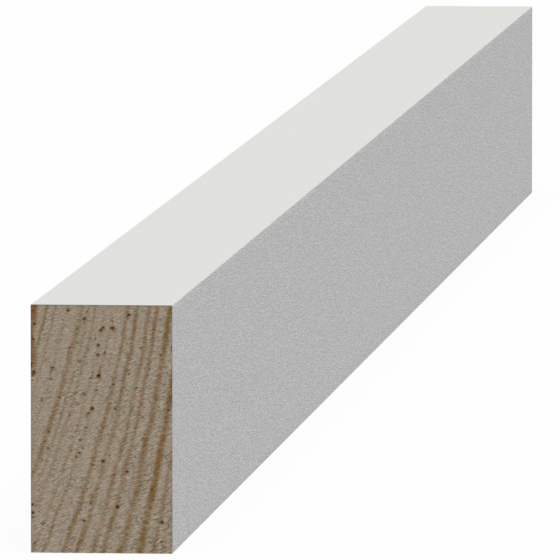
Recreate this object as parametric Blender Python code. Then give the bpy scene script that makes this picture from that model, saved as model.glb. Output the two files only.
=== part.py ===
"""A length of flat trim moulding: square-section pine, primed on its four long faces.

The board lies along Y and stands on its narrow edge. Its wide back face looks to -X, its wide show face
to +X, and it is cut square at both ends. The origin is the middle of the underside.

Run it with: blender --background --python part.py
"""

import math

import bmesh
import bpy
from mathutils import Matrix, Vector

# Driving dimensions, in metres.
THICKNESS = 0.01905  # dressed 3/4 in stock, across the narrow edges
WIDTH = 0.03334  # 1 5/16 in, across the wide faces
LENGTH = 0.660  # between the two saw cuts
ARRIS_RADIUS = 0.0001  # the four long edges, which the primer just takes the sharpness off
ARRIS_SEGMENTS = 4  # flats in each quarter round

# Finish of each surface: linear colour, roughness.
PRIMER = ((0.75, 0.75, 0.72), 0.6)
BARE_PINE = ((0.33, 0.25, 0.17), 0.85)


def clear_scene():
    for obj in list(bpy.data.objects):
        bpy.data.objects.remove(obj, do_unlink=True)


def make_material(name, finish):
    colour, roughness = finish
    material = bpy.data.materials.new(name)
    material.use_nodes = True
    material.diffuse_color = (*colour, 1.0)
    shader = material.node_tree.nodes["Principled BSDF"]
    shader.inputs["Base Color"].default_value = (*colour, 1.0)
    shader.inputs["Roughness"].default_value = roughness
    shader.inputs["Metallic"].default_value = 0.0
    return material


def section_face(bm):
    """The board's cross-section as one face in the XZ plane at y = 0, with its four corners rounded."""
    unit = bmesh.ops.create_grid(bm, x_segments=1, y_segments=1, size=0.5)
    bmesh.ops.scale(bm, vec=Vector((THICKNESS, WIDTH, 1.0)), verts=unit["verts"])
    bmesh.ops.rotate(bm, matrix=Matrix.Rotation(math.radians(90), 3, "X"), verts=unit["verts"])
    bmesh.ops.translate(bm, vec=Vector((0.0, 0.0, WIDTH / 2)), verts=unit["verts"])
    bmesh.ops.bevel(
        bm,
        geom=unit["verts"],
        offset=ARRIS_RADIUS,
        offset_type="OFFSET",
        segments=ARRIS_SEGMENTS,
        profile=0.5,
        affect="VERTICES",
        material=-1,
    )
    return bm.faces[:]


def extrude_along_y(bm, section):
    """Draws the section out to the board's length, half each way from y = 0."""
    bmesh.ops.translate(bm, vec=Vector((0.0, -LENGTH / 2, 0.0)), verts=bm.verts[:])
    drawn = bmesh.ops.extrude_face_region(bm, geom=section, use_keep_orig=True)
    moved = [item for item in drawn["geom"] if isinstance(item, bmesh.types.BMVert)]
    bmesh.ops.translate(bm, vec=Vector((0.0, LENGTH, 0.0)), verts=moved)
    bmesh.ops.recalc_face_normals(bm, faces=bm.faces[:])


def make_trim_board():
    mesh = bpy.data.meshes.new("trim_board")
    mesh.materials.append(make_material("white primer", PRIMER))
    mesh.materials.append(make_material("bare pine end grain", BARE_PINE))
    bm = bmesh.new()
    extrude_along_y(bm, section_face(bm))
    for face in bm.faces:
        is_saw_cut = abs(face.normal.y) > 0.5
        face.material_index = 1 if is_saw_cut else 0
    bm.to_mesh(mesh)
    bm.free()
    mesh.shade_smooth()
    mesh.set_sharp_from_angle(angle=math.radians(30))
    board = bpy.data.objects.new("trim_board", mesh)
    bpy.context.scene.collection.objects.link(board)
    return board


clear_scene()
make_trim_board()
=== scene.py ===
"""Looks of a flat trim moulding: a pine board primed white on its long faces, with bare saw-cut ends.

The file is laid out as a Blender add-on and is run as a script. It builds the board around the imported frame
as one closed mesh, and sets it on a pale lit table. Its panel is in the 3D view's sidebar, under Trim.
"""

import math
import random

import bmesh
import bpy
from mathutils import Matrix, Vector, noise


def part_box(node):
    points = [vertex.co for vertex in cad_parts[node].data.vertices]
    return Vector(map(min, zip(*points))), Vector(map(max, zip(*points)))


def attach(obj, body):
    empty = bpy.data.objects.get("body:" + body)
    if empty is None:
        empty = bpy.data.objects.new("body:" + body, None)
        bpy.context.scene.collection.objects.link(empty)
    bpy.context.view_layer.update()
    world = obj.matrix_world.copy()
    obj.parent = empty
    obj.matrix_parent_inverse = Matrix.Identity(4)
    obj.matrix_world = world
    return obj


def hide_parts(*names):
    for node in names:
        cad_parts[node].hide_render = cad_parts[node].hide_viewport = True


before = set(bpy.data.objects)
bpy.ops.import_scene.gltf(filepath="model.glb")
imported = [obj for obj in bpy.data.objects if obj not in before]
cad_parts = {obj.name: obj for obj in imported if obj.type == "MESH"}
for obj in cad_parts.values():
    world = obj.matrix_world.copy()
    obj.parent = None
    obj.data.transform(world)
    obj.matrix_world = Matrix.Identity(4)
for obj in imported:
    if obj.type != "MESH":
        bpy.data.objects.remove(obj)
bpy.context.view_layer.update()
BOARD_LOW, BOARD_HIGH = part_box("trim_board")
BOARD = BOARD_HIGH - BOARD_LOW
MID_HEIGHT = (BOARD_LOW.z + BOARD_HIGH.z) / 2

bl_info = {
    "name": "Flat trim moulding",
    "version": (1, 0, 0),
    "blender": (4, 5, 0),
    "location": "3D View > Sidebar > Trim",
    "description": "Builds a primed pine trim board with saw-cut end grain, and the table it is shown on",
    "category": "Mesh",
}

MM = 0.001

# Latewood lines that cross the end, from +X to -X. Each has its place at mid height and its width in mm,
# then how dark it is at the top, in the middle and at the foot of the end.
RINGS = (
    (11.0, 0.5, 0.0, 0.2, 0.3),
    (10.0, 0.5, 0.3, 0.5, 0.6),
    (8.4, 0.8, 0.9, 1.0, 1.0),
    (6.4, 0.8, 0.9, 0.7, 0.7),
    (4.5, 0.6, 0.7, 0.6, 0.6),
    (3.3, 0.6, 0.6, 0.6, 0.6),
    (1.5, 0.6, 0.7, 0.6, 0.8),
    (0.0, 0.6, 0.6, 0.6, 0.7),
    (-2.2, 0.4, 0.3, 0.3, 0.7),
    (-3.4, 0.4, 0.2, 0.4, 0.4),
    (-5.0, 0.5, 0.5, 0.4, 0.3),
    (-6.0, 0.4, 0.4, 0.4, 0.2),
    (-7.1, 0.7, 0.5, 0.7, 0.4),
    (-9.2, 0.4, 0.3, 0.3, 0.2),
    (-11.0, 0.4, 0.5, 0.2, 0.0),
    (-12.4, 0.5, 0.9, 0.3, 0.0),
)
# The lines lean to +X, more so towards -X, and bow a little.
RING_LEAN = 0.268
RING_LEAN_PER_MM = -0.0105
RING_BOW = -0.003
RING_BOW_PER_MM = 0.0002

SAW_SLANT = math.radians(38)  # the saw's tears rise to +X at this angle
TICK_SLANT = math.radians(22)  # the fibre ends break off in short ticks that rise less

# Sizes of the patterns that the materials draw, in mm, and the heights of their bumps.
TICK_LENGTH = 0.38
TICK_WIDTH = 0.16
TICK_BUMP = 0.15
TEAR_LENGTH = 0.8
TEAR_WIDTH = 0.22
TEAR_BUMP = 0.17
RUNG_SIZE = 0.22
RUNG_SQUEEZE = 0.35  # makes the rungs wider than they are high
RING_EDGE_BUMP = 0.08
RESIN_PATCH_SIZE = 1.5
BLOTCH_SIZE = 1.1
TOOTH_SIZE = 0.21
TOOTH_SQUEEZE = 0.13  # makes the tooth 1.6 mm long along the board
TOOTH_BUMP = 0.15

# Sizes in the mesh.
RIM_GAP = 0.06 * MM  # between the primer's rim and the carved grid, closed by the bridge
GRAIN_WIDTH = 2.5 * MM
GRAIN_LENGTH = 60 * MM
NEAR_SEED = 1
FAR_SEED = 41

# What each point of an end tells its material, each from 0 to 1.
END_LAYERS = ("latewood", "canal", "tear_hollow_shade", "resin", "ragged")

# Resin-brown streaks in the near end. Each has its place across and up, its half length and its half width
# in mm, then its lean and its strength.
STREAKS = (
    (-9.4, 32.8, 3.6, 1.15, 0.05, 1.0),
    (-9.5, 28.5, 6.0, 0.60, 0.00, 0.9),
    (-9.4, 26.3, 2.6, 1.00, 0.03, 0.9),
    (-9.5, 13.0, 14.0, 0.90, 0.00, 0.30),
    (-2.25, 31.4, 1.3, 0.22, 0.15, 0.7),
    (-0.25, 24.6, 1.1, 0.25, 0.10, 0.8),
    (-4.45, 26.8, 1.1, 0.25, 0.15, 0.8),
    (-6.8, 24.5, 0.7, 0.25, 0.10, 0.7),
    (1.7, 10.5, 0.8, 0.30, 0.25, 0.7),
    (-1.3, 7.4, 1.2, 0.35, 0.25, 0.8),
    (9.3, 20.6, 1.7, 0.40, 0.10, 0.9),
)

# Resin canals of an end. The plain ones lie in its streaks and along its rings, the small ones along its
# rings only.
STREAK_CANALS_PER_MM = 1.5
PLAIN_RING_CANALS = 35
SMALL_RING_CANALS = 130
PLAIN_CANAL_SIZE = (0.13, 0.25)  # least and most half width, in mm
SMALL_CANAL_SIZE = (0.08, 0.16)
LOWEST_CANAL = 0.4  # height above the underside, in mm
HIGHEST_CANAL = 32.9
RING_CANAL_SPREAD = 0.3  # how far canals stray from their ring, in mm


def colour(hex_value):
    """An sRGB hex colour as linear red, green and blue."""
    parts = [int(hex_value[i : i + 2], 16) / 255 for i in (1, 3, 5)]
    return [p / 12.92 if p <= 0.04045 else ((p + 0.055) / 1.055) ** 2.4 for p in parts]


class TrimSizes(bpy.types.PropertyGroup):
    """Sizes of the board's finish and of its cut ends."""

    film: bpy.props.FloatProperty(
        name="Primer film", description="Thickness of the primer where the saw cut shows it",
        default=0.012 * MM, precision=6, unit="LENGTH",
    )
    arris: bpy.props.FloatProperty(
        name="Arris radius", description="Rounding of the four long edges",
        default=0.1 * MM, precision=6, unit="LENGTH",
    )
    near_step: bpy.props.FloatProperty(
        name="Near end mesh step", description="Spacing of the mesh that carries the near end's relief",
        default=0.106 * MM, precision=6, unit="LENGTH",
    )
    far_step: bpy.props.FloatProperty(
        name="Far end mesh step", description="Spacing of the mesh that carries the far end's relief",
        default=0.16 * MM, precision=6, unit="LENGTH",
    )
    face_step: bpy.props.FloatProperty(
        name="Face mesh step", description="Spacing of the mesh across the long faces",
        default=1.1 * MM, precision=6, unit="LENGTH",
    )
    length_step: bpy.props.FloatProperty(
        name="Length mesh step", description="Spacing of the mesh along the board",
        default=5.5 * MM, precision=6, unit="LENGTH",
    )
    recess: bpy.props.FloatProperty(
        name="Recess", description="How far the sawn wood lies behind the primer's cut rim",
        default=0.06 * MM, precision=6, unit="LENGTH",
    )
    ridge: bpy.props.FloatProperty(
        name="Latewood ridge", description="How far the hard latewood stands proud of the earlywood",
        default=0.02 * MM, precision=6, unit="LENGTH",
    )
    tear: bpy.props.FloatProperty(
        name="Saw tears", description="Height of the slanting tears that the saw teeth left in the end",
        default=0.045 * MM, precision=6, unit="LENGTH",
    )
    canal_depth: bpy.props.FloatProperty(
        name="Resin canal depth", description="Depth of the small round resin canals in the end",
        default=0.12 * MM, precision=6, unit="LENGTH",
    )
    ripple: bpy.props.FloatProperty(
        name="Raised grain", description="Height of the grain that shows faintly through the primer",
        default=0.02 * MM, precision=6, unit="LENGTH",
    )


class TrimColours(bpy.types.PropertyGroup):
    """Colours of the board and of the table."""

    primer: bpy.props.FloatVectorProperty(
        name="Primer", description="Matt white acrylic primer",
        default=colour("#ddddd8"), subtype="COLOR", size=3, min=0, max=1,
    )
    earlywood: bpy.props.FloatVectorProperty(
        name="Earlywood", description="Pale soft wood between the rings",
        default=colour("#b5a791"), subtype="COLOR", size=3, min=0, max=1,
    )
    latewood: bpy.props.FloatVectorProperty(
        name="Latewood", description="Brown hard wood of the rings",
        default=colour("#8c6d3e"), subtype="COLOR", size=3, min=0, max=1,
    )
    heartwood: bpy.props.FloatVectorProperty(
        name="Resin-rich latewood", description="Redder brown of the latewood that holds more resin",
        default=colour("#94683c"), subtype="COLOR", size=3, min=0, max=1,
    )
    resin: bpy.props.FloatVectorProperty(
        name="Resin", description="Dark brown of the resin canals",
        default=colour("#361d06"), subtype="COLOR", size=3, min=0, max=1,
    )
    table: bpy.props.FloatVectorProperty(
        name="Table", description="White acrylic table that the board stands on",
        default=colour("#fcfcfc"), subtype="COLOR", size=3, min=0, max=1,
    )


def add_node(tree, kind, inputs=None, **settings):
    """Adds a node with its own settings, and sets its sockets to values or links them to outputs."""
    node = tree.nodes.new(kind)
    for name, value in settings.items():
        setattr(node, name, value)
    for socket, value in (inputs or {}).items():
        if isinstance(value, bpy.types.NodeSocket):
            tree.links.new(value, node.inputs[socket])
        else:
            node.inputs[socket].default_value = value
    return node


def new_material(name):
    """An empty node material, ready for a shader and its output."""
    material = bpy.data.materials.new(name)
    material.use_nodes = True
    material.node_tree.nodes.clear()
    return material, material.node_tree


def shaded(rgb, share):
    """A colour made darker or lighter by a share, as red, green, blue and alpha."""
    return (*[min(1.0, share * c) for c in rgb], 1.0)


def noise_texture(tree, place, scale, detail):
    """The value of a noise texture at a place."""
    return add_node(
        tree, "ShaderNodeTexNoise", {"Vector": place, "Scale": scale, "Detail": detail},
    ).outputs["Fac"]


def acrylic_primer(colours):
    """Flow-coated acrylic primer: matt off-white, with a fine tooth drawn out along the board.

    The tooth speckles the two wide faces, which the overhead light skims, and leaves the narrow edges
    smooth. On the wide faces the primer's colour is also painted darker in the tooth's pits and lighter on
    its crests, as painted shade and highlight.
    """
    material, tree = new_material("acrylic_primer")
    coordinates = add_node(tree, "ShaderNodeTexCoord")
    place = coordinates.outputs["Object"]
    facing = add_node(tree, "ShaderNodeSeparateXYZ", {0: coordinates.outputs["Normal"]}).outputs["X"]
    wide_face = add_node(tree, "ShaderNodeMath", {0: facing}, operation="ABSOLUTE").outputs[0]
    tooth_place = add_node(
        tree, "ShaderNodeMapping", {"Vector": place, "Scale": (1.0, TOOTH_SQUEEZE, 1.0)},
    ).outputs[0]
    tooth = noise_texture(tree, tooth_place, 1 / (TOOTH_SIZE * MM), 0.0)
    # The tooth's height on the wide faces only: it bumps them, and it also paints their shade into the
    # colour.
    tooth_relief_and_shade = add_node(tree, "ShaderNodeMix", {0: wide_face, 2: 0.5, 3: tooth}).outputs[0]
    # Painted shade and highlight: the primer is darker in the tooth's pits and lighter on its crests.
    painted_tooth_shade = add_node(
        tree, "ShaderNodeMix",
        {0: tooth_relief_and_shade, 6: shaded(colours.primer, 0.78), 7: shaded(colours.primer, 1.22)}, data_type="RGBA",
    ).outputs[2]
    bump = add_node(
        tree, "ShaderNodeBump", {"Strength": 1.0, "Distance": TOOTH_BUMP * MM, "Height": tooth_relief_and_shade},
    ).outputs[0]
    shader = add_node(
        tree, "ShaderNodeBsdfPrincipled",
        {"Base Color": painted_tooth_shade, "Roughness": 0.9, "Normal": bump, "Specular IOR Level": 0.0},
    )
    add_node(tree, "ShaderNodeOutputMaterial", {"Surface": shader.outputs[0]})
    return material


def sawn_pine(colours):
    """Saw-cut pine end grain: greyish earlywood, brown latewood, dark resin canals and matt torn fibres.

    The mesh brings the relief and says where latewood, resin, canals and the saw tears' hollows are. The
    hollows are darkened in the colour as painted shade. The nodes fray the latewood's edges and add the fibre
    ends, which the saw breaks off in short slanting ticks. A fibre is 0.03 mm wide, too fine to show, so the
    ticks are drawn
    0.16 mm wide. Ragged parts are a little paler.
    """
    material, tree = new_material("sawn_pine_end_grain")
    place = add_node(tree, "ShaderNodeTexCoord").outputs["Object"]
    latewood, canal, tear_hollow_shade, resin, ragged = [
        add_node(tree, "ShaderNodeAttribute", attribute_name=layer).outputs["Fac"] for layer in END_LAYERS
    ]
    fibre_place = add_node(
        tree, "ShaderNodeMapping",
        {"Vector": place, "Rotation": (0, -TICK_SLANT, 0),
         "Scale": (TICK_LENGTH * MM, TICK_LENGTH * MM, TICK_WIDTH * MM)},
        vector_type="TEXTURE",
    ).outputs[0]
    fibre = noise_texture(tree, fibre_place, 1.0, 0.0)
    tear_place = add_node(
        tree, "ShaderNodeMapping",
        {"Vector": place, "Rotation": (0, -SAW_SLANT, 0),
         "Scale": (TEAR_LENGTH * MM, TEAR_LENGTH * MM, TEAR_WIDTH * MM)},
        vector_type="TEXTURE",
    ).outputs[0]
    tears = noise_texture(tree, tear_place, 1.0, 0.0)
    patches = noise_texture(tree, place, 1 / (RESIN_PATCH_SIZE * MM), 1.0)
    rung_place = add_node(
        tree, "ShaderNodeMapping", {"Vector": place, "Scale": (RUNG_SQUEEZE, RUNG_SQUEEZE, 1.0)},
    ).outputs[0]
    rungs = noise_texture(tree, rung_place, 1 / (RUNG_SIZE * MM), 0.0)
    frayed = add_node(
        tree, "ShaderNodeMath", {0: rungs, 1: 0.6, 2: latewood}, operation="MULTIPLY_ADD",
    ).outputs[0]
    brown = add_node(
        tree, "ShaderNodeMapRange", {"Value": frayed, "From Min": 0.32, "From Max": 1.25},
    ).outputs[0]
    lifted = add_node(
        tree, "ShaderNodeMath", {0: ragged, 1: 0.2, 2: fibre}, operation="MULTIPLY_ADD",
    ).outputs[0]
    cells = add_node(
        tree, "ShaderNodeMix",
        {0: lifted, 6: shaded(colours.earlywood, 0.79), 7: shaded(colours.earlywood, 1.21)},
        data_type="RGBA", clamp_factor=False,
    ).outputs[2]
    resin_and_patches = add_node(
        tree, "ShaderNodeMath", {0: resin, 1: 0.2, 2: patches}, operation="MULTIPLY_ADD",
    ).outputs[0]
    resin_rich = add_node(
        tree, "ShaderNodeMapRange", {"Value": resin_and_patches, "From Min": 0.5, "From Max": 0.72},
    ).outputs[0]
    bands = add_node(
        tree, "ShaderNodeMix",
        {0: resin_rich, 6: shaded(colours.latewood, 1.0), 7: shaded(colours.heartwood, 1.0)},
        data_type="RGBA",
    ).outputs[2]
    plain_wood = add_node(
        tree, "ShaderNodeMix", {0: brown, 6: cells, 7: bands}, data_type="RGBA",
    ).outputs[2]
    blotches = noise_texture(tree, place, 1 / (BLOTCH_SIZE * MM), 1.0)
    cast = add_node(
        tree, "ShaderNodeMix",
        {0: blotches, 6: (1.12, 0.94, 1.04, 1), 7: (0.88, 1.06, 0.96, 1)}, data_type="RGBA",
    ).outputs[2]
    wood = add_node(
        tree, "ShaderNodeMix",
        {0: 1.0, 6: plain_wood, 7: cast}, data_type="RGBA", blend_type="MULTIPLY",
    ).outputs[2]
    # Painted shade: the wood is multiplied to a darker brown in the hollows of the saw tears.
    shadowed = add_node(
        tree, "ShaderNodeMix",
        {0: tear_hollow_shade, 6: wood, 7: (0.86, 0.8, 0.71, 1)}, data_type="RGBA", blend_type="MULTIPLY",
    ).outputs[2]
    stained = add_node(
        tree, "ShaderNodeMix",
        {0: canal, 6: shadowed, 7: shaded(colours.resin, 1.0)}, data_type="RGBA",
    ).outputs[2]
    peaks = add_node(
        tree, "ShaderNodeMapRange",
        {"Value": tears, "From Min": 0.5, "From Max": 0.72, "To Min": 1.0, "To Max": 0.0},
        interpolation_type="SMOOTHSTEP",
    ).outputs[0]
    relief = add_node(tree, "ShaderNodeMapRange", {"Value": ragged, "To Min": 0.3}).outputs[0]
    coarse_bump = add_node(
        tree, "ShaderNodeBump", {"Strength": relief, "Distance": TEAR_BUMP * MM, "Height": peaks},
    ).outputs[0]
    edge_bump = add_node(
        tree, "ShaderNodeBump",
        {"Strength": 1.0, "Distance": RING_EDGE_BUMP * MM, "Height": brown, "Normal": coarse_bump},
    ).outputs[0]
    bump = add_node(
        tree, "ShaderNodeBump",
        {"Strength": 1.0, "Distance": TICK_BUMP * MM, "Height": fibre, "Normal": edge_bump},
    ).outputs[0]
    shader = add_node(
        tree, "ShaderNodeBsdfPrincipled",
        {"Base Color": stained, "Roughness": 0.85, "Normal": bump, "Specular IOR Level": 0.1},
    )
    add_node(tree, "ShaderNodeOutputMaterial", {"Surface": shader.outputs[0]})
    return material


def smooth_step(low, high, value):
    """0 below low, 1 above high and a smooth rise between them."""
    t = min(1.0, max(0.0, (value - low) / (high - low)))
    return t * t * (3 - 2 * t)


def ring_course(z):
    """How far the ring lines have moved to +X at a height, and how far they have spread. In mm."""
    up = z - MID_HEIGHT / MM
    return RING_LEAN * up + RING_BOW * up * up, 1 + RING_LEAN_PER_MM * up + RING_BOW_PER_MM * up * up


def ring_x(place, z):
    """Where the ring line that has a place at mid height lies at another height. In mm."""
    moved, spread = ring_course(z)
    return moved + place * spread


def ring_place(x, z):
    """Which ring line passes a point of the end, as the line's place at mid height. In mm."""
    moved, spread = ring_course(z)
    return (x - moved) / spread


def noise_at(x, z, width, height, seed):
    """Smooth noise from about -1 to 1 at a point of the end, with lumps of a width and a height. In mm."""
    return noise.noise(Vector((x / width, z / height, seed)))


def rise_at(z):
    """How far a height is above the middle of the end: -1 at the foot and 1 at the top. In mm."""
    return (z - MID_HEIGHT / MM) / (BOARD.z / MM / 2)


def latewood_at(x, z, seed):
    """How much brown latewood a point of the end has, from 0 to 1. The point is in mm."""
    wander = 0.06 * noise_at(x, z, 0.35, 0.3, seed)
    wander += 0.10 * noise_at(x, z, 1.1, 0.9, seed + 1)
    wander += 0.25 * noise_at(x, z, 4.0, 5.0, seed + 2)
    dots = 1 + 0.4 * noise_at(x, z, 0.8, 0.35, seed + 3)
    place = ring_place(x, z) + wander
    rise = rise_at(z)
    faint_lines = 0.45 * noise_at(place, z, 0.32, 2.5, seed + 5)
    amount = faint_lines
    for centre, width, top, middle, foot in RINGS:
        away = abs(place - centre)
        if away > width:
            continue
        end = top if rise > 0 else foot
        strength = middle + (end - middle) * abs(rise)
        strength *= 1 + 0.5 * noise_at(centre, z, 1.0, 2.2, seed + 4)
        amount = max(amount, strength * (1 - smooth_step(0.0, width, away)))
    return min(1.0, max(0.0, amount * dots))


def streak_at(x, z, streaks):
    """How much resin the streaks of an end give a point, from 0 to 1. The point is in mm."""
    amount = 0.0
    for across, up, half_length, half_width, lean, strength in streaks:
        along = abs(z - up) / half_length
        if along < 1:
            away = abs(x - across - lean * (z - up)) / half_width
            amount = max(amount, strength * (1 - along ** 2) * (1 - smooth_step(0.3, 1.0, away)))
    return amount


def saw_tears(x, z, seed):
    """Height of the slanting tears that the saw teeth left at a point of the end, mostly -1 to 1."""
    along = x * math.cos(SAW_SLANT) + z * math.sin(SAW_SLANT)
    across = z * math.cos(SAW_SLANT) - x * math.sin(SAW_SLANT)
    tears = noise_at(along, across, 1.0, 0.3, seed + 11)
    tears += noise_at(along, across, 0.7, 0.24, seed + 13)
    return 1.4 * tears


def raggedness_at(x, z, seed):
    """How ragged the saw left a point of the end, from 0 to 1: more so towards the foot and +X. In mm."""
    drift = 0.25 * x / (BOARD.x / MM / 2) - 0.25 * rise_at(z)
    patches = 0.7 * noise_at(x, z, 2.2, 2.2, seed + 17)
    return min(1.0, max(0.0, 0.5 + drift + patches))


class ResinCanals:
    """The resin canals of one end, kept by the millimetre square they lie in."""

    def __init__(self, streaks, seed):
        self.dice = random.Random(seed)
        self.squares = {}
        for across, up, half_length, half_width, lean, strength in streaks:
            for _ in range(round(STREAK_CANALS_PER_MM * half_length * strength)):
                rise = half_length * self.dice.uniform(-0.8, 0.8)
                aside = half_width * self.dice.uniform(-0.6, 0.6)
                self.add_plain(across + lean * rise + aside, up + rise)
        for _ in range(PLAIN_RING_CANALS):
            self.add_plain(*self.ring_point())
        for _ in range(SMALL_RING_CANALS):
            x, z = self.ring_point()
            size = self.dice.uniform(*SMALL_CANAL_SIZE)
            self.add(x, z, size, self.dice.uniform(0.3, 0.8))

    def ring_point(self):
        """A point on one of the rings or close beside it. In mm."""
        z = self.dice.uniform(LOWEST_CANAL, HIGHEST_CANAL)
        ring = self.dice.choice(RINGS)[0]
        return ring_x(ring + self.dice.gauss(0.0, RING_CANAL_SPREAD), z), z

    def add_plain(self, x, z):
        """Adds one plain canal, the darker the wider it is."""
        size = self.dice.uniform(*PLAIN_CANAL_SIZE)
        self.add(x, z, size, 4.0 * size)

    def add(self, x, z, size, strength):
        """Adds one canal to every square it can reach, with resin soaked into the wood to one side."""
        flatness = self.dice.uniform(0.6, 1.0)
        soak = strength * self.dice.uniform(0.2, 1.0)
        soak_x = x + size * self.dice.uniform(-1.0, 1.0)
        soak_z = z + size * self.dice.uniform(-1.6, 0.8)
        for i in (-1, 0, 1):
            for k in (-1, 0, 1):
                square = (math.floor(x) + i, math.floor(z) + k)
                canal = (x, z, size, flatness, strength, soak_x, soak_z, soak)
                self.squares.setdefault(square, []).append(canal)

    def at(self, x, z):
        """How deep a point is in a canal and how much resin the wood there holds, each from 0 to 1."""
        deepest = 0.0
        soaked = 0.0
        square = (math.floor(x), math.floor(z))
        for canal in self.squares.get(square, ()):
            canal_x, canal_z, size, flatness, strength, soak_x, soak_z, soak = canal
            away = math.hypot((x - canal_x) / size, (z - canal_z) / (size * flatness))
            deepest = max(deepest, strength * (1 - smooth_step(0.2, 1.4, away)))
            trail = math.hypot((x - soak_x) / (2.2 * size), (z - soak_z) / (3.0 * size))
            beside = soak * (1 - smooth_step(0.2, 1.0, trail))
            around = strength * (1 - smooth_step(0.9, 1.9, away))
            soaked = max(soaked, beside, around)
        return deepest, soaked


def section_face(bm, sizes):
    """The board's outline as one face at its near end, with rounded arrises and points along its sides."""
    unit = bmesh.ops.create_grid(bm, x_segments=1, y_segments=1, size=0.5)
    bmesh.ops.scale(bm, vec=Vector((BOARD.x, BOARD.z, 1.0)), verts=unit["verts"])
    bmesh.ops.rotate(bm, matrix=Matrix.Rotation(math.radians(90), 3, "X"), verts=unit["verts"])
    bmesh.ops.translate(bm, vec=Vector((0.0, BOARD_LOW.y, MID_HEIGHT)), verts=unit["verts"])
    bmesh.ops.bevel(
        bm, geom=unit["verts"], offset=sizes.arris, offset_type="OFFSET",
        segments=4, profile=0.5, affect="VERTICES", material=-1,
    )
    for edge in [e for e in bm.edges if e.calc_length() > 4 * sizes.arris]:
        steps = round(edge.calc_length() / sizes.face_step)
        bmesh.ops.subdivide_edges(bm, edges=[edge], cuts=steps - 1)
    return bm.faces[:]


def draw_out(bm, section, sizes):
    """Draws the outline out along Y, divides it lengthwise, and returns the near and the far end's face."""
    drawn = bmesh.ops.extrude_face_region(bm, geom=section, use_keep_orig=True)
    moved = [item for item in drawn["geom"] if isinstance(item, bmesh.types.BMVert)]
    bmesh.ops.translate(bm, vec=Vector((0.0, BOARD.y, 0.0)), verts=moved)
    lengthwise = [e for e in bm.edges if abs(e.verts[0].co.y - e.verts[1].co.y) > BOARD.y / 2]
    steps = round(BOARD.y / sizes.length_step)
    bmesh.ops.subdivide_edges(bm, edges=lengthwise, cuts=steps - 1, use_grid_fill=True)
    ends = sorted((f for f in bm.faces if len(f.verts) > 8), key=lambda f: f.calc_center_median().y)
    return ends[0], ends[-1]


def raise_grain(bm, sizes):
    """Lets the grain show faintly through the primer, which only sinks, so the board keeps its size."""
    for vert in bm.verts:
        if not BOARD_LOW.y < vert.co.y < BOARD_HIGH.y:
            continue
        across, along, up = vert.co.x / GRAIN_WIDTH, vert.co.y / GRAIN_LENGTH, vert.co.z / GRAIN_WIDTH
        sunk = 0.5 + 0.5 * noise.noise(Vector((across, along, up)))
        vert.co -= vert.normal * sizes.ripple * sunk


def end_grid(bm, cap, outward, step, sizes):
    """Replaces an end's plain face with a fine grid inside the primer's rim. Returns its points and faces.

    The grid faces outwards like the rim, because the bridge between them would otherwise be twisted.
    """
    bmesh.ops.inset_region(bm, faces=[cap], thickness=sizes.film, use_even_offset=True)
    rim_edges = cap.edges[:]
    end_y = cap.calc_center_median().y
    bmesh.ops.delete(bm, geom=[cap], context="FACES_ONLY")
    span_x = BOARD.x - 2 * (sizes.film + RIM_GAP)
    span_z = BOARD.z - 2 * (sizes.film + RIM_GAP)
    grid = bmesh.ops.create_grid(
        bm, x_segments=round(span_x / step), y_segments=round(span_z / step), size=0.5,
    )
    bmesh.ops.scale(bm, vec=Vector((span_x, span_z, 1.0)), verts=grid["verts"])
    bmesh.ops.rotate(bm, matrix=Matrix.Rotation(math.radians(-90 * outward), 3, "X"), verts=grid["verts"])
    bmesh.ops.translate(bm, vec=Vector((0.0, end_y, MID_HEIGHT)), verts=grid["verts"])
    border = list({e for v in grid["verts"] for e in v.link_edges if e.is_boundary})
    faces = list({f for v in grid["verts"] for f in v.link_faces})
    bridge = bmesh.ops.bridge_loops(bm, edges=rim_edges + border)
    return grid["verts"], faces + bridge["faces"]


def carve_end(bm, verts, outward, canals, streaks, seed, sizes):
    """Moves an end's grid to the relief of sawn end grain, and keeps what its material needs to know."""
    layers = [bm.verts.layers.float[name] for name in END_LAYERS]
    for vert in verts:
        x, z = vert.co.x / MM, vert.co.z / MM
        canal, soaked = canals.at(x, z)
        resin = max(soaked, streak_at(x, z, streaks))
        latewood = max(latewood_at(x, z, seed), resin)
        ragged = raggedness_at(x, z, seed) * (1 - 0.85 * latewood)
        tears = saw_tears(x, z, seed) * (0.35 + 0.65 * ragged)
        # Painted shade for the material: how deep a point lies in the hollow of a saw tear, from 0 to 1.
        tear_hollow_shade = smooth_step(0.2, 0.9, -tears)
        for layer, value in zip(layers, (latewood, canal, tear_hollow_shade, resin, ragged)):
            vert[layer] = value
        height = sizes.ridge * latewood + sizes.tear * tears - sizes.canal_depth * canal
        vert.co.y += outward * min(0.0, height - sizes.recess)


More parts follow.
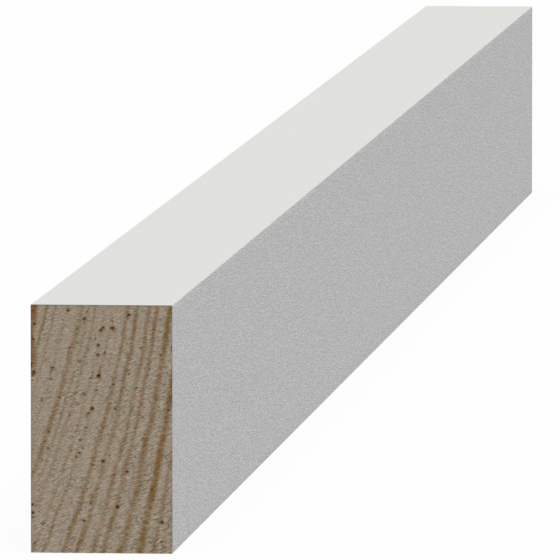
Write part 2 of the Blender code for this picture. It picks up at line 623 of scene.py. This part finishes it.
class TRIM_OT_board(bpy.types.Operator):
    """Builds the trim board: one closed mesh with primed long faces and carved ends"""

    bl_idname = "trim.board"
    bl_label = "Trim board"

    def execute(self, context):
        sizes = context.scene.trim_sizes
        bm = bmesh.new()
        for name in END_LAYERS:
            bm.verts.layers.float.new(name)
        near, far = draw_out(bm, section_face(bm, sizes), sizes)
        bmesh.ops.recalc_face_normals(bm, faces=bm.faces[:])
        raise_grain(bm, sizes)
        ends = (
            (near, -1, sizes.near_step, STREAKS, NEAR_SEED),
            (far, 1, sizes.far_step, (), FAR_SEED),
        )
        for cap, outward, step, streaks, seed in ends:
            verts, faces = end_grid(bm, cap, outward, step, sizes)
            carve_end(bm, verts, outward, ResinCanals(streaks, seed), streaks, seed, sizes)
            for face in faces:
                face.material_index = 1
        bmesh.ops.recalc_face_normals(bm, faces=bm.faces[:])
        mesh = bpy.data.meshes.new("primed_board")
        bm.to_mesh(mesh)
        bm.free()
        colours = context.scene.trim_colours
        mesh.materials.append(acrylic_primer(colours))
        mesh.materials.append(sawn_pine(colours))
        mesh.shade_smooth()
        mesh.set_sharp_from_angle(angle=math.radians(60))
        board = bpy.data.objects.new("primed_board", mesh)
        context.scene.collection.objects.link(board)
        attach(board, "root")
        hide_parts("trim_board")
        return {"FINISHED"}


# The camera, fitted to the straight edges in the photograph.
CAMERA_AZIMUTH = math.radians(5.165)
CAMERA_ELEVATION = math.radians(4.557)
CAMERA_LENS_MM = 935.6
CAMERA_DISTANCE = 2.2744
CAMERA_AIM = Vector((-5.881 * MM, 0.0, 10.440 * MM))

# The light, in shares of what a white face square to it would show.
SUN_SHARE = 0.485
SURROUND_SHARE = 0.585
TOWARDS_SUN = Vector((0.12, -0.25, 0.96))
SUN_ANGLE = math.radians(40)
SUN_COLOUR = (1.0, 1.0, 0.95)
FILL_COLOUR = (0.98, 0.98, 1.045, 1)
TABLE_GLOW = 0.935
TABLE_REACH = 10.0  # from the middle to each edge, in metres


def place_camera(scene):
    """An ordinary long-lens camera at the photograph's angle."""
    data = bpy.data.cameras.new("camera")
    data.lens = CAMERA_LENS_MM
    data.sensor_width = 36
    data.clip_end = 100
    camera = bpy.data.objects.new("camera", data)
    scene.collection.objects.link(camera)
    turn = Matrix.Rotation(CAMERA_AZIMUTH, 4, "Z") @ Matrix.Rotation(math.pi / 2 - CAMERA_ELEVATION, 4, "X")
    back = turn.to_3x3() @ Vector((0, 0, 1))
    camera.matrix_world = Matrix.Translation(CAMERA_AIM + back * CAMERA_DISTANCE) @ turn
    scene.camera = camera


def lit_acrylic(colours):
    """A white acrylic table, lit from within so that the board's shadow on it stays faint."""
    material, tree = new_material("lit_acrylic")
    shader = add_node(
        tree, "ShaderNodeBsdfPrincipled",
        {"Base Color": shaded(colours.table, 0.08), "Roughness": 0.9, "Specular IOR Level": 0.0,
         "Emission Color": shaded(colours.table, 1.0), "Emission Strength": TABLE_GLOW},
    )
    add_node(tree, "ShaderNodeOutputMaterial", {"Surface": shader.outputs[0]})
    return material


class TRIM_OT_stage(bpy.types.Operator):
    """Sets out the pale table, the soft overhead light, the bright surround and the camera"""

    bl_idname = "trim.stage"
    bl_label = "Stage"

    def execute(self, context):
        scene = context.scene
        bm = bmesh.new()
        bmesh.ops.create_grid(bm, x_segments=1, y_segments=1, size=TABLE_REACH)
        bmesh.ops.translate(bm, vec=Vector((0.0, 0.0, BOARD_LOW.z)), verts=bm.verts[:])
        mesh = bpy.data.meshes.new("table")
        bm.to_mesh(mesh)
        bm.free()
        mesh.materials.append(lit_acrylic(scene.trim_colours))
        table = bpy.data.objects.new("table", mesh)
        scene.collection.objects.link(table)
        table.visible_diffuse = False

        light = bpy.data.lights.new("overhead_softbox", "SUN")
        light.energy = SUN_SHARE * math.pi
        light.angle = SUN_ANGLE
        light.color = SUN_COLOUR
        lamp = bpy.data.objects.new("overhead_softbox", light)
        scene.collection.objects.link(lamp)
        lamp.rotation_euler = TOWARDS_SUN.to_track_quat("Z", "Y").to_euler()

        world = bpy.data.worlds.new("bright_surround")
        world.use_nodes = True
        tree = world.node_tree
        tree.nodes.clear()
        fill = add_node(
            tree, "ShaderNodeBackground", {"Color": FILL_COLOUR, "Strength": SURROUND_SHARE},
        )
        seen = add_node(tree, "ShaderNodeBackground", {"Color": (1, 1, 1, 1), "Strength": 1.0})
        camera_ray = add_node(tree, "ShaderNodeLightPath").outputs["Is Camera Ray"]
        mixed = add_node(
            tree, "ShaderNodeMixShader", {0: camera_ray, 1: fill.outputs[0], 2: seen.outputs[0]},
        )
        add_node(tree, "ShaderNodeOutputWorld", {"Surface": mixed.outputs[0]})
        scene.world = world
        scene.view_settings.view_transform = "Standard"
        place_camera(scene)
        return {"FINISHED"}


class TRIM_PT_sidebar(bpy.types.Panel):
    """Sizes, colours and the two build buttons"""

    bl_idname = "TRIM_PT_sidebar"
    bl_label = "Flat trim moulding"
    bl_space_type = "VIEW_3D"
    bl_region_type = "UI"
    bl_category = "Trim"

    def draw(self, context):
        for group in (context.scene.trim_sizes, context.scene.trim_colours):
            for name in group.__annotations__:
                self.layout.prop(group, name)
        self.layout.operator(TRIM_OT_board.bl_idname)
        self.layout.operator(TRIM_OT_stage.bl_idname)


CLASSES = (TrimSizes, TrimColours, TRIM_OT_board, TRIM_OT_stage, TRIM_PT_sidebar)


def register():
    for cls in CLASSES:
        bpy.utils.register_class(cls)
    bpy.types.Scene.trim_sizes = bpy.props.PointerProperty(type=TrimSizes)
    bpy.types.Scene.trim_colours = bpy.props.PointerProperty(type=TrimColours)


def unregister():
    del bpy.types.Scene.trim_colours
    del bpy.types.Scene.trim_sizes
    for cls in reversed(CLASSES):
        bpy.utils.unregister_class(cls)


def main():
    register()
    bpy.ops.trim.stage()
    bpy.ops.trim.board()


if __name__ == "__main__":
    main()
